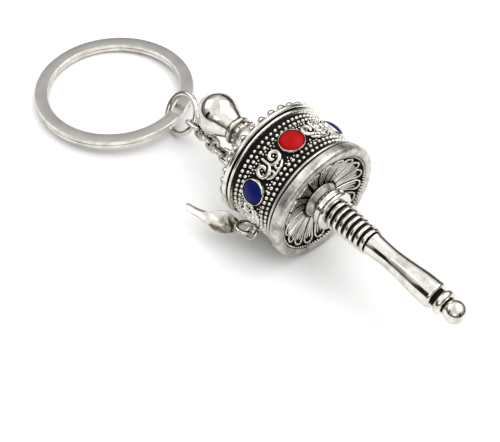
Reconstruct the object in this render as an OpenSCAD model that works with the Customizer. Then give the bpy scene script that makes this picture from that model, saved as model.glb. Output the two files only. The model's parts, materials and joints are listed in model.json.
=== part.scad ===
// Key-chain prayer wheel: a drum that spins on a handle's axle, with a swinging counterweight,
// a curb chain, a jump ring and a flat split key ring. It lies on its two drum flanges, axle along X.

/* [Drum] */
// Radius of the drum wall's ground surface
drum_r = 10.2; // [9.5:0.1:10.4]
// Radius of the two end flanges
flange_r = 11.2; // [11:0.1:12]
// Height of the raised ornament on the drum wall
relief_h = 0.45; // [0.3:0.05:0.6]
// Thickness of the drum wall
wall_t = 0.8; // [0.6:0.1:1]
// Radius of each cabochon stone
stone_r = 2.0; // [1.8:0.1:2.2]
// Thickness of the metal rim round each stone
bezel_t = 0.3; // [0.2:0.05:0.4]

/* [Handle] */
// Radius of the axle
axle_r = 1; // [0.8:0.1:1.2]
// Radial play between the axle and the two bushes
axle_play = 0.06; // [0.03:0.01:0.09]
// Number of ribs on the ferrule
rib_count = 7; // [5:1:9]
// Distance from one rib to the next
rib_pitch = 1.2; // [1.1:0.1:1.4]
// Largest radius of the grip
grip_r = 2.5; // [2.3:0.1:2.8]
// Radius of the ball at the end of the handle
pommel_r = 2.05; // [1.8:0.05:2.3]
// Radius of the pear-shaped finial
finial_r = 3.95; // [3.6:0.05:4]

/* [Chain] */
// Wire diameter of the chain links
link_wire = 0.85; // [0.8:0.05:0.9]
// Gap between the wires of two links
link_gap = 0.1; // [0.08:0.02:0.14]
// Distance between the wire centres at the two ends of a link
link_len = 3.4; // [3.3:0.1:3.6]
// Wire diameter of the jump ring
jump_wire = 1.1; // [1:0.05:1.2]
// Mean radius of the jump ring
jump_r = 3.75; // [3.7:0.05:3.9]

/* [Key ring] */
// Outer diameter of the split ring
ring_od = 30; // [28:1:32]
// Width of the flat band, measured along the ring's radius
ring_band = 2.35; // [2:0.05:2.5]
// Thickness of one turn of the split ring
ring_turn_t = 0.78; // [0.7:0.02:0.8]

/* [Counterweight] */
// Outer radius of the eye
eye_r = 1.8; // [1.7:0.05:1.9]
// Radius of the hole in the eye
eye_hole_r = 1.15; // [1.1:0.05:1.2]
// Length from the eye's centre to the tip
leaf_len = 11; // [9:0.5:12]

/* [Hidden] */
$fn = 96;
axis_z = flange_r;

// Stations along the axle: x is 0 at the rim of the lotus flange and grows towards the pommel.
rim_x = 0.9;                     // outer edge of the lotus flange
lotus_floor_x = -0.9;            // floor of the rosette recess
lotus_back_x = -1.9;             // inner face of the lotus plate
crown_front_x = -11.2;           // inner face of the crown plate
crown_back_x = -13.1;            // outer face of the crown flange
dome_x = -18.7;                  // small end of the crown dome
hub_x = 0.6;                     // end of the hub in the rosette
washer_gap = 0.05;
washer_t = 0.4;
collar_x = hub_x + 2 * washer_gap + washer_t;
ribs_x = 3.5;
grip_x = ribs_x + rib_count * rib_pitch;
grip_end_x = 26.3;
pommel_ring_x = 27.7;
pommel_x = 30.1;
upper_washer_x = dome_x - washer_gap - washer_t;
neck_x = upper_washer_x - washer_gap;
neck_end_x = neck_x - 2.9;
finial_x = -26.6;
axle_x0 = finial_x + 1;          // end of the axle inside the finial
axle_x1 = ribs_x + 6;            // end of the axle inside the ferrule
bush_r = 1.8;
bush_len = 2;
recess_r = 9.1;
bore_r = axle_r + axle_play;
plate_fit_r = drum_r - wall_t;   // spigot of each end plate inside the drum wall

// Ornament on the drum wall
mid_x = (lotus_back_x + crown_front_x) / 2;
band_w = 1.7;                    // width of each edge band of beads
stone_count = 6;
stone_turn = 9;                  // turn of the first stone from the top
lug_seat = 2;                    // this place in the row of six holds the counterweight's lug
bezel_r = stone_r + bezel_t;
seat_r = drum_r + 0.1;           // distance from the axle to the floor of a bezel

// Counterweight: a lug on the drum, a wire hoop through it, and the weight's own eye on the hoop
lug_wire = 0.6;
lug_r = 0.85;
lug_out = 1.6;                   // height of the lug's outer wire above the drum wall
hoop_wire = 0.5;
hoop_r = 1.25;
hoop_lean = 6;                   // lean of the hoop away from the drum
hoop_side = 20;                  // turn of the hoop about the lug
eye_t = 0.8;
eye_at = [-8.75, -9.2, 3.25];
eye_turn = [14, -3, 214];

// Chain: the first pivot is the wire of the lug on the neck, and each link bends about the last one
neck_lug_turn = 56;
neck_lug_x = -19.9;
neck_lug_out = 5.3;              // distance from the axle to the lug's wire
neck_r = 2.7;
link_r = 1.05;                   // mean radius of a link's ends
chain_turn = [-55, 2, 180];
link_bend = [0, -16, -3, 5, 0, 14, 4];
link_count = 6;
link_back = link_wire + link_gap;
link_pitch = link_len - link_back;
jump_back = link_wire / 2 + link_gap + jump_wire / 2;

// Key ring: its far edge rests on the table and its near edge on the jump ring
ring_r = ring_od / 2;
ring_mid_r = ring_r - ring_band / 2;
ring_gap = 0.04;
ring_h = 2 * ring_turn_t + ring_gap;
ring_x = -50.9;
ring_y = -4.9;
ring_tilt = 3.7;
joggle = 9;                      // half the angle of the step where one turn crosses to the other
joggle_turn = 40;                // place of that step round the ring
ring_z = ring_h / 2 * cos(ring_tilt) + ring_r * sin(ring_tilt);

// The row's origin is the middle of the box that the whole part fills, on the table
x_low = ring_x - ring_r * cos(ring_tilt);
x_high = pommel_x + pommel_r;
y_low = ring_y - ring_r;
shift = [-(x_low + x_high) / 2, -(y_low + flange_r) / 2, 0];

silver = [0.78, 0.77, 0.75];
dark_silver = [0.3, 0.29, 0.28];

// ---- helpers ----

// Places the axle frame, with x along the axle and the table at z = 0, in the row's frame
module row() {
    translate(shift) children();
}

// Turns a profile of [radius, x] points about the axle
module turned(profile) {
    row() translate([0, 0, axis_z]) rotate([0, 90, 0]) rotate_extrude() polygon(profile);
}

// A plain ring about the axle
module ring_on_axle(x0, x1, r_in, r_out) {
    turned([[r_in, x0], [r_out, x0], [r_out, x1], [r_in, x1]]);
}

// Stands a child, built along +Z from the axle, on the drum at turn degrees from the top
module on_drum(x, turn) {
    row() translate([x, 0, axis_z]) rotate([turn, 0, 0]) children();
}

// Points on an arc of radius r about [cx, cz], from angle a to angle b
function arc(cx, cz, r, a, b, n) =
    [for (i = [0 : n]) [cx + r * cos(a + (b - a) * i / n), cz + r * sin(a + (b - a) * i / n)]];

// A round wire ring in the XY plane
module wire_ring(r, wire) {
    rotate_extrude($fn = 64) translate([r, 0]) circle(d = wire, $fn = 32);
}

// An oval link in the XY plane, hooked round the pivot at the origin and reaching along +X
module oval_link() {
    straight = link_len - 2 * link_r;
    translate([link_r - link_back, 0, 0]) {
        rotate([0, 0, 90]) rotate_extrude(angle = 180, $fn = 64)
            translate([link_r, 0]) circle(d = link_wire, $fn = 32);
        translate([straight, 0, 0]) rotate([0, 0, -90]) rotate_extrude(angle = 180, $fn = 64)
            translate([link_r, 0]) circle(d = link_wire, $fn = 32);
        for (side = [-1, 1])
            translate([0, side * link_r, 0]) rotate([0, 90, 0])
                cylinder(h = straight, d = link_wire, $fn = 32);
    }
}

// Frame of link number k: its pivot is the wire of the one before, and it lies in its own XY plane
module on_link(k) {
    if (k == 0) {
        row() translate([neck_lug_x, 0, axis_z])
            translate([0, -neck_lug_out * cos(neck_lug_turn), -neck_lug_out * sin(neck_lug_turn)])
                rotate(chain_turn) rotate([0, 0, link_bend[0]]) children();
    } else {
        on_link(k - 1) translate([link_pitch, 0, 0]) rotate([90, 0, 0])
            rotate([0, 0, link_bend[k]]) children();
    }
}

// Frame of one of the six places round the middle of the drum wall: +Z points out of the drum
module on_seat(i) {
    on_drum(mid_x, stone_turn + i * 360 / stone_count) children();
}

// Frame of the hoop: its pivot is the lug's wire, and it lies in its own XZ plane along +X
module on_hoop() {
    on_seat(lug_seat) translate([0, 0, drum_r + lug_out])
        rotate([0, 0, hoop_side]) rotate([0, -180 + hoop_lean, 0]) children();
}

// ---- handle ----

module axle() {
    color(silver) row() translate([axle_x0, 0, axis_z]) rotate([0, 90, 0])
        cylinder(h = axle_x1 - axle_x0, r = axle_r);
}

module handle_collar() {
    color(silver) turned(concat(
        [[axle_r, collar_x], [2.9, collar_x]],
        arc(3.1, collar_x + 0.5, 0.5, -60, 60, 6),
        [[3.3, 2.4]],
        arc(3.2, 2.9, 0.5, -60, 80, 6),
        [[2.6, ribs_x], [axle_r, ribs_x]]));
}

module ribbed_ferrule() {
    rib_r = function (i) 2.8 - 0.35 * i / (rib_count - 1);
    groove = 0.12 * rib_pitch;
    color(silver) turned(concat(
        [[axle_r, ribs_x]],
        [for (i = [0 : rib_count - 1]) each concat(
            [[rib_r(i) - 0.55, ribs_x + i * rib_pitch], [rib_r(i) - 0.55, ribs_x + i * rib_pitch + groove]],
            [for (p = arc(rib_r(i) - 0.4, ribs_x + (i + 0.5) * rib_pitch, 0.4, -80, 80, 6)) p],
            [[rib_r(i) - 0.55, ribs_x + (i + 1) * rib_pitch - groove]])],
        [[rib_r(rib_count - 1) - 0.55, grip_x], [axle_r, grip_x]]));
}

// Radius of the grip, from its waist near the ferrule to its widest place near the pommel
function grip_radius(t) = 1.85 + (2.15 - 1.85) * pow(max(0, 1 - t / 0.3), 2)
    + (grip_r - 1.85) * (1 - cos(180 * max(0, min(1, (t - 0.25) / 0.7)))) / 2;

module grip() {
    span = grip_end_x - grip_x;
    color(silver) turned(concat(
        [[0, grip_x]],
        [for (i = [0 : 24]) [grip_radius(i / 24), grip_x + (span - 0.5) * i / 24]],
        arc(grip_r - 0.5, grip_end_x - 0.5, 0.5, 15, 90, 5),
        [[1.5, grip_end_x], [1.5, pommel_ring_x - 0.75], [0, pommel_ring_x - 0.75]]));
}

module pommel_ring() {
    color(silver) turned(concat(
        [[0, pommel_ring_x - 0.75]],
        arc(1.6, pommel_ring_x, 0.75, -90, 90, 14),
        [[1.3, pommel_ring_x + 0.75], [1.3, pommel_ring_x + 0.95], [0, pommel_ring_x + 0.95]]));
}

module pommel_ball() {
    start_x = pommel_ring_x + 0.95;
    color(silver) difference() {
        row() translate([pommel_x, 0, axis_z]) rotate([0, 90, 0]) sphere(r = pommel_r);
        row() translate([start_x - 2 * pommel_r, 0, axis_z]) rotate([0, 90, 0])
            cylinder(h = 2 * pommel_r, r = 2 * pommel_r);
    }
}

module lower_washer() {
    color(silver) ring_on_axle(hub_x + washer_gap, hub_x + washer_gap + washer_t, axle_r, 2.4);
}

module upper_washer() {
    color(silver) ring_on_axle(upper_washer_x, upper_washer_x + washer_t, axle_r, 2.4);
}

// Neck between the drum and the finial: two rings with a groove between them
module finial_neck() {
    color(silver) turned(concat(
        [[axle_r, neck_x], [2.2, neck_x]],
        arc(neck_r - 0.45, neck_x - 0.75, 0.45, 60, -60, 6),
        [[2.1, neck_x - 1.3], [2.1, neck_x - 1.6]],
        arc(neck_r - 0.35, neck_x - 2.1, 0.45, 60, -60, 6),
        [[2.35, neck_end_x], [axle_r, neck_end_x]]));
}

module finial_ball() {
    color(silver) turned(concat(
        [[0, axle_x0], [axle_r, axle_x0], [axle_r, neck_end_x], [2.35, neck_end_x],
            [2.7, neck_end_x - 0.9]],
        arc(0, finial_x, finial_r, 37, -90, 26)));
}

// Loop on the neck that holds the chain's first link
module chain_lug() {
    color(silver) row() translate([neck_lug_x, 0, axis_z]) rotate([90 + neck_lug_turn, 0, 0])
        difference() {
            union() {
                translate([0, 0, neck_lug_out - link_r]) rotate([0, 90, 0]) wire_ring(link_r, link_wire);
                cylinder(h = neck_lug_out - 2 * link_r, d = link_wire);
            }
            rotate([0, 90, 0]) cylinder(h = 10, r = neck_r - 0.15, center = true);
        }
}

// ---- drum ----

module drum_shell() {
    color(dark_silver) ring_on_axle(crown_front_x, lotus_back_x, plate_fit_r, drum_r);
}

// End plate on the handle's side: a broad rounded rim round a recess, and a hub for the bush
module lotus_plate() {
    rim_edge = 0.7;
    color(silver) turned(concat(
        [[bush_r, lotus_back_x - 0.6], [plate_fit_r, lotus_back_x - 0.6], [plate_fit_r, lotus_back_x]],
        arc(flange_r - rim_edge, lotus_back_x + rim_edge, rim_edge, -90, 0, 6),
        arc(flange_r - rim_edge, rim_x - rim_edge, rim_edge, 0, 90, 6),
        [[recess_r + 0.5, rim_x - 0.1], [recess_r, rim_x - 0.6], [recess_r, lotus_floor_x],
            [3.2, lotus_floor_x], [3.0, hub_x - 0.3], [2.7, hub_x], [bush_r, hub_x]]));
}

// Sixteen raised petals on the floor of the recess
module lotus_petals() {
    petals = 16;
    color(silver) for (i = [0 : petals - 1])
        row() translate([lotus_floor_x, 0, axis_z]) rotate([i * 360 / petals, 0, 0]) rotate([0, 90, 0])
            linear_extrude(0.6) polygon(concat([[3.4, -0.35]], arc(7.6, 0, 1.2, -75, 75, 8), [[3.4, 0.35]]));
}

// End plate on the finial's side: a flange with two ring lines and a dome that narrows to the neck
module crown_plate() {
    edge = 0.4;
    mid = (crown_front_x + crown_back_x) / 2;
    dome = [for (i = [0 : 12]) [2.6 + 6.4 * pow(1 - i / 12, 2.4), crown_back_x + (dome_x - crown_back_x) * i / 12]];
    color(silver) turned(concat(
        [[bush_r, crown_front_x + 0.6], [plate_fit_r, crown_front_x + 0.6], [plate_fit_r, crown_front_x]],
        arc(flange_r - edge, crown_front_x - edge, edge, 90, -60, 6),
        [[flange_r - 0.6, mid + 0.1], [flange_r - 0.6, mid - 0.1]],
        arc(flange_r - edge, crown_back_x + edge, edge, 60, -90, 6),
        dome,
        [[bush_r, dome_x], [bush_r, dome_x + bush_len], [2.2, dome_x + bush_len],
            [7, crown_back_x + 1], [7, crown_front_x], [bush_r, crown_front_x]]));
}

// Ring of beads round the outer face of the crown
module crown_beads() {
    beads = 30;
    bead_r = 0.85;
    color(silver) for (i = [0 : beads - 1])
        row() translate([crown_back_x, 0, axis_z]) rotate([i * 360 / beads, 0, 0])
            translate([0, 0, flange_r - 1.05]) rotate([0, -90, 0])
                intersection() {
                    sphere(r = bead_r, $fn = 32);
                    cylinder(h = bead_r, r = bead_r, $fn = 32);
                }
}

module lower_bush() {
    color("goldenrod") ring_on_axle(lotus_back_x - 0.6, hub_x, bore_r, bush_r);
}

module upper_bush() {
    color("goldenrod") ring_on_axle(dome_x, dome_x + bush_len, bore_r, bush_r);
}

// Blank paper roll inside the drum
module prayer_roll() {
    color("wheat") ring_on_axle(crown_front_x + 0.8, lotus_back_x - 0.8, 3, plate_fit_r - 0.2);
}

module lower_bead_band() {
    color(silver) ring_on_axle(lotus_back_x - 0.5 - band_w, lotus_back_x - 0.5, drum_r, drum_r + relief_h);
}

module upper_bead_band() {
    color(silver) ring_on_axle(crown_front_x + 0.5, crown_front_x + 0.5 + band_w, drum_r, drum_r + relief_h);
}

// Generic paired curls between the stones
module scroll_ornaments() {
    curl_r = 1.05;
    curl_out = 1.1;
    wire = 0.45;
    color(silver) for (i = [0 : stone_count - 1])
        on_drum(mid_x, stone_turn + (i + 0.5) * 360 / stone_count)
            translate([0, 0, drum_r]) {
                for (side = [-1, 1])
                    translate([side * curl_out, side * 0.3, 0]) wire_ring(curl_r, wire);
            }
}

module stone_bezels() {
    color(silver) for (i = [0 : stone_count - 1])
        if (i != lug_seat) on_seat(i) translate([0, 0, drum_r - 0.5])
            difference() {
                cylinder(h = 0.5 + relief_h + 0.1, r = bezel_r, $fn = 48);
                translate([0, 0, seat_r - drum_r + 0.5]) cylinder(h = 3, r = stone_r, $fn = 48);
            }
}

// Cabochons in the bezels: those at even places are red, the others are blue
module cabochons(first) {
    crown = 1;
    ball_r = (stone_r * stone_r + crown * crown) / (2 * crown);
    for (i = [first : 2 : stone_count - 1])
        if (i != lug_seat) on_seat(i) translate([0, 0, seat_r])
            intersection() {
                translate([0, 0, crown - ball_r]) sphere(r = ball_r, $fn = 64);
                cylinder(h = 2 * crown, r = stone_r, $fn = 48);
            }
}

module red_stones() {
    color("firebrick") cabochons(0);
}

module blue_stones() {
    color("navy") cabochons(1);
}

// ---- counterweight ----

// Wire loop on a round pad, in place of the sixth stone
module weight_lug() {
    color(silver) difference() {
        on_seat(lug_seat) {
            translate([0, 0, drum_r + lug_out - lug_r]) rotate([0, 90, 0]) wire_ring(lug_r, lug_wire);
            translate([0, 0, drum_r - 0.3]) cylinder(h = 0.4, r = 1.2, $fn = 48);
        }
        row() translate([mid_x, 0, axis_z]) rotate([0, 90, 0]) cylinder(h = 4, r = drum_r, center = true);
    }
}

module weight_hoop() {
    reach = hoop_r - hoop_wire / 2 - lug_wire / 2 - link_gap;
    color(silver) on_hoop() translate([reach, 0, 0]) rotate([90, 0, 0]) wire_ring(hoop_r, hoop_wire);
}

// Frame of the counterweight: the middle of its eye, +X towards the tip and +Z along the eye's hole
module on_eye() {
    row() translate(eye_at) rotate(eye_turn) children();
}

// Leaf-shaped weight with a ring eye
module counterweight() {
    color(silver) on_eye() {
        difference() {
            union() {
                translate([0, 0, -eye_t / 2]) cylinder(h = eye_t, r = eye_r, $fn = 48);
                hull() {
                    translate([eye_r + 0.4, 0, 0]) scale([1, 1, 0.6]) sphere(r = 0.9, $fn = 24);
                    translate([4.6, 0.5, 0.1]) scale([1, 1.15, 0.6]) sphere(r = 2, $fn = 32);
                }
                hull() {
                    translate([4.6, 0.5, 0.1]) scale([1, 1.15, 0.6]) sphere(r = 2, $fn = 32);
                    translate([7.6, 0.1, 0.4]) scale([1, 1, 0.6]) sphere(r = 1.3, $fn = 24);
                }
                hull() {
                    translate([7.6, 0.1, 0.4]) scale([1, 1, 0.6]) sphere(r = 1.3, $fn = 24);
                    translate([leaf_len - 0.5, -0.8, 1]) sphere(r = 0.5, $fn = 24);
                }
            }
            cylinder(h = 4, r = eye_hole_r, center = true, $fn = 48);
        }
    }
}

// ---- chain and key ring ----

module chain_link(number) {
    color(silver) on_link(number - 1) oval_link();
}

module jump_ring() {
    color(silver) on_link(link_count) translate([jump_r - jump_back, 0, 0]) wire_ring(jump_r, jump_wire);
}

// The split ring's frame: its middle, with +Z along its own axis
module on_split_ring() {
    row() translate([ring_x, ring_y, ring_z]) rotate([0, -ring_tilt, 0]) children();
}

// A stretch of the flat band, from one angle to another
module band_arc(z0, height, from, to) {
    translate([0, 0, z0]) rotate([0, 0, from]) rotate_extrude(angle = to - from, $fn = 180)
        translate([ring_r - ring_band, 0]) square([ring_band, height]);
}

// Two flat turns that lie on each other and join at one step
module split_ring() {
    color(silver) on_split_ring() rotate([0, 0, joggle_turn]) {
        band_arc(-ring_h / 2, ring_turn_t, joggle, 360 - joggle);
        band_arc(ring_gap / 2, ring_turn_t, joggle, 360 - joggle);
        band_arc(-ring_h / 2, ring_h, -joggle, joggle);
    }
}

axle();
handle_collar();
ribbed_ferrule();
grip();
pommel_ring();
pommel_ball();
lower_washer();
upper_washer();
finial_neck();
finial_ball();
chain_lug();
drum_shell();
lotus_plate();
lotus_petals();
crown_plate();
crown_beads();
lower_bush();
upper_bush();
prayer_roll();
lower_bead_band();
upper_bead_band();
scroll_ornaments();
stone_bezels();
red_stones();
blue_stones();
weight_lug();
weight_hoop();
counterweight();
chain_link(1);  // link_1
chain_link(2);  // link_2
chain_link(3);  // link_3
chain_link(4);  // link_4
chain_link(5);  // link_5
chain_link(6);  // link_6
jump_ring();
split_ring();
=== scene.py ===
# Looks for a key-ring prayer wheel: cast antique silver, red and blue stones, a chain and a split ring.
# Every piece is built in the CAD model's frame, in metres, with +X along the axle, and rides on its CAD body.
import json
import math
import random

import bpy
from mathutils import Euler, Matrix, Vector


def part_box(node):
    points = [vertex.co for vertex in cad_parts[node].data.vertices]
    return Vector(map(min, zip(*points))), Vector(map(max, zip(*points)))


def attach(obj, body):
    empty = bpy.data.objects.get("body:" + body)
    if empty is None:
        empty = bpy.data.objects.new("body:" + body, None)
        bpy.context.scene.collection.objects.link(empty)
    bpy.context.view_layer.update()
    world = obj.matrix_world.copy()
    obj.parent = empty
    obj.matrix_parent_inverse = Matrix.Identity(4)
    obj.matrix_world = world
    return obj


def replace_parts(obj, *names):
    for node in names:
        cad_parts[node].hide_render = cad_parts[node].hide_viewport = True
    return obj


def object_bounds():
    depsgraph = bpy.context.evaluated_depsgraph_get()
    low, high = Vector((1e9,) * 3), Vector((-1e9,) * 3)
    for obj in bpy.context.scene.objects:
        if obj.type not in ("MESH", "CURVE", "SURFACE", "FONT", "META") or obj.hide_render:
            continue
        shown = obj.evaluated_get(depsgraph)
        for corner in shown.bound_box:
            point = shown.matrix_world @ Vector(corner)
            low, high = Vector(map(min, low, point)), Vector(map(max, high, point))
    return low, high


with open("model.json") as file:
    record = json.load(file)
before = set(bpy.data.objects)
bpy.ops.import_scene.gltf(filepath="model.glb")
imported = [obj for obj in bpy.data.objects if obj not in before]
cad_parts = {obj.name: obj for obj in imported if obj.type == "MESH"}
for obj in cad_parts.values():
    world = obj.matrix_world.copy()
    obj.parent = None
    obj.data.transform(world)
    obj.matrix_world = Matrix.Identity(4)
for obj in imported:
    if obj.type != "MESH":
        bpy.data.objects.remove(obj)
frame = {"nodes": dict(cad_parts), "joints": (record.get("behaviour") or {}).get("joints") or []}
cad_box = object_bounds()
random.seed(7)

MM = 0.001
TAU = 2 * math.pi
JOINTS = {j["name"]: j for j in frame["joints"]}


def corners(node):
    lo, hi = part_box(node)
    return Vector(lo), Vector(hi)


# Stations of the drum and the handle, read from the CAD nodes
SHELL_LO, SHELL_HI = corners("drum_shell")
PLATE_LO, PLATE_HI = corners("lotus_plate")
CROWN_LO = corners("crown_plate")[0]
AXIS_Y = (SHELL_LO.y + SHELL_HI.y) / 2
AXIS_Z = (SHELL_LO.z + SHELL_HI.z) / 2
DRUM_R = (SHELL_HI.z - SHELL_LO.z) / 2
FLANGE_R = (PLATE_HI.z - PLATE_LO.z) / 2
FRONT_X = SHELL_HI.x             # where the drum wall meets the lotus plate
BACK_X = SHELL_LO.x              # where it meets the crown plate
MID_X = (FRONT_X + BACK_X) / 2
RIM_X = PLATE_HI.x
DOME_X = CROWN_LO.x
FLANGE_T = 1.9 * MM
STONE_TURN = 9                   # degrees from the top to the first stone
LUG_SEAT = 2                     # the place that holds the counterweight's lug
SEATS = 6
STONE_R = 2.0 * MM
BEZEL_R = 2.3 * MM


# ---------------------------------------------------------------- mesh building

class Builder:
    """Collects vertices, faces and each face's material number for one mesh."""

    def __init__(self):
        self.verts = []
        self.faces = []
        self.mats = []

    def add(self, verts, faces, mat=0):
        start = len(self.verts)
        self.verts.extend(verts)
        self.faces.extend([tuple(start + i for i in f) for f in faces])
        self.mats.extend([mat] * len(faces))

    def loft(self, rings, mat=0, closed=True, caps=True):
        """Skin between rings of points. closed joins each ring's ends, caps fills the first and last ring."""
        n = len(rings[0])
        verts = [p for ring in rings for p in ring]
        faces = []
        last = n if closed else n - 1
        for i in range(len(rings) - 1):
            for j in range(last):
                a, b = i * n + j, i * n + (j + 1) % n
                faces.append((a, b, b + n, a + n))
        if caps:
            faces.append(tuple(reversed(range(n))))
            faces.append(tuple(range((len(rings) - 1) * n, len(rings) * n)))
        self.add(verts, faces, mat)

    def piece(self, name, body, materials, sharp=40):
        mesh = bpy.data.meshes.new(name)
        mesh.from_pydata([tuple(v) for v in self.verts], [], self.faces)
        for material in materials:
            mesh.materials.append(material)
        mesh.polygons.foreach_set("material_index", self.mats)
        mesh.polygons.foreach_set("use_smooth", [True] * len(self.faces))
        mesh.validate()
        mesh.set_sharp_from_angle(angle=math.radians(sharp))
        mesh.update()
        obj = bpy.data.objects.new(name, mesh)
        bpy.context.scene.collection.objects.link(obj)
        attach(obj, body)
        return obj


def arc(cx, cr, r, a, b, n=8):
    """Points (x, radius) on an arc. Angle 0 points away from the axle and 90 points along +X."""
    out = []
    for i in range(n + 1):
        t = math.radians(a + (b - a) * i / n)
        out.append((cx + r * math.sin(t), cr + r * math.cos(t)))
    return out


def about_axle(x, r, turn):
    """A point at distance r from the axle, turn radians from the top towards -Y."""
    return Vector((x, AXIS_Y - r * math.sin(turn), AXIS_Z + r * math.cos(turn)))


def lathe(builder, profile, mat=0, steps=144, wobble=0.0, seed=0.0):
    """Turns a profile of (x, radius) about the axle. A radius of 0 closes an end."""
    rings = []
    for x, r in profile:
        ring = []
        for j in range(steps):
            t = TAU * j / steps
            wave = math.sin(5 * t + seed) + 0.6 * math.sin(11 * t + 2.1 * seed)
            wave += 0.5 * math.sin(3 * t + x * 900)
            ring.append(about_axle(x, max(r, 1e-6) + (wobble * wave if r > 1e-5 else 0), t))
        rings.append(ring)
    builder.loft(rings, mat, closed=True, caps=True)


def sphere_points(radius, squash=1.0, rings=8, steps=14):
    """A half dome's rings: from the rim up to the top, in its own frame with +Z up."""
    out = []
    for i in range(rings):
        a = math.pi / 2 * i / rings
        level = radius * math.cos(a)
        height = radius * squash * math.sin(a)
        out.append([(level * math.cos(TAU * j / steps), level * math.sin(TAU * j / steps), height)
                    for j in range(steps)])
    return out


def dome(builder, place, radius, height, mat=0, rings=6, steps=14, sink=0.0):
    """A rounded bead standing on a surface. place is a matrix whose +Z points out of it."""
    shape = [[place @ Vector((x, y, z - sink)) for x, y, z in ring]
             for ring in sphere_points(radius, height / radius, rings, steps)]
    foot_z = -sink - 0.05 * MM
    base = [place @ Vector((radius * math.cos(TAU * j / steps), radius * math.sin(TAU * j / steps), foot_z))
            for j in range(steps)]
    rings_all = [base] + shape
    top = place @ Vector((0, 0, height - sink))
    n = steps
    verts = [p for ring in rings_all for p in ring] + [top]
    faces = []
    for i in range(len(rings_all) - 1):
        for j in range(n):
            a, b = i * n + j, i * n + (j + 1) % n
            faces.append((a, b, b + n, a + n))
    last = (len(rings_all) - 1) * n
    faces += [(last + j, last + (j + 1) % n, len(verts) - 1) for j in range(n)]
    faces.append(tuple(reversed(range(n))))
    builder.add(verts, faces, mat)


def tube(builder, points, radii, mat=0, sides=14, closed=False, flat=1.0, up=None, caps=True):
    """A round or oval bar along points. up is the direction that flat squashes."""
    n = len(points)
    rings = []
    for i, p in enumerate(points):
        before = points[(i - 1) % n] if closed or i > 0 else p
        after = points[(i + 1) % n] if closed or i < n - 1 else p
        along = (after - before).normalized()
        lift = up[i] if isinstance(up, list) else (up or Vector((0, 0, 1)))
        side = along.cross(lift).normalized()
        out = side.cross(along).normalized()
        r = radii[i] if isinstance(radii, list) else radii
        angles = [TAU * k / sides for k in range(sides)]
        rings.append([p + side * (r * math.cos(a)) + out * (r * flat * math.sin(a)) for a in angles])
    if closed:
        rings.append(rings[0])
        builder.loft(rings, mat, closed=True, caps=False)
    else:
        builder.loft(rings, mat, closed=True, caps=caps)


def wire_ring(builder, centre, normal, radius, wire, mat=0, steps=72, sides=16, flat=1.0):
    normal = normal.normalized()
    a = normal.orthogonal().normalized()
    b = normal.cross(a)
    points = [centre + a * (radius * math.cos(TAU * i / steps)) + b * (radius * math.sin(TAU * i / steps))
              for i in range(steps)]
    tube(builder, points, wire / 2, mat, sides, closed=True, flat=flat, up=normal)


# ---------------------------------------------------------------- materials

def new_material(name):
    material = bpy.data.materials.new(name)
    material.use_nodes = True
    nodes = material.node_tree.nodes
    return material, nodes, material.node_tree.links, nodes["Principled BSDF"]


def noise(nodes, links, scale, detail=4.0, rough=0.6, vector=None):
    """A noise texture in object space. scale is in features per metre."""
    tex = nodes.new("ShaderNodeTexNoise")
    tex.inputs["Scale"].default_value = scale
    tex.inputs["Detail"].default_value = detail
    tex.inputs["Roughness"].default_value = rough
    if vector is None:
        coord = nodes.new("ShaderNodeTexCoord")
        vector = coord.outputs["Object"]
    links.new(vector, tex.inputs["Vector"])
    return tex.outputs["Fac"]


def ramp(nodes, links, source, stops):
    node = nodes.new("ShaderNodeValToRGB")
    node.color_ramp.elements[0].position = stops[0][0]
    node.color_ramp.elements[0].color = stops[0][1]
    node.color_ramp.elements[1].position = stops[-1][0]
    node.color_ramp.elements[1].color = stops[-1][1]
    for place, colour in stops[1:-1]:
        node.color_ramp.elements.new(place).color = colour
    links.new(source, node.inputs["Fac"])
    return node.outputs["Color"]


def grey(v, a=1.0):
    return (v, v, v, a)


def span(nodes, links, source, lo, hi, out_lo, out_hi):
    node = nodes.new("ShaderNodeMapRange")
    for socket, value in zip(("From Min", "From Max", "To Min", "To Max"), (lo, hi, out_lo, out_hi)):
        node.inputs[socket].default_value = value
    links.new(source, node.inputs["Value"])
    return node.outputs["Result"]


def bump(nodes, links, source, strength, distance):
    node = nodes.new("ShaderNodeBump")
    node.inputs["Strength"].default_value = strength
    node.inputs["Distance"].default_value = distance
    links.new(source, node.inputs["Height"])
    return node.outputs["Normal"]


def mix(nodes, links, factor, a, b):
    node = nodes.new("ShaderNodeMix")
    node.data_type = "RGBA"
    links.new(factor, node.inputs["Factor"])
    for socket, value in (("A", a), ("B", b)):
        if isinstance(value, tuple):
            node.inputs[socket].default_value = value
        else:
            links.new(value, node.inputs[socket])
    return node.outputs["Result"]


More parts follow.
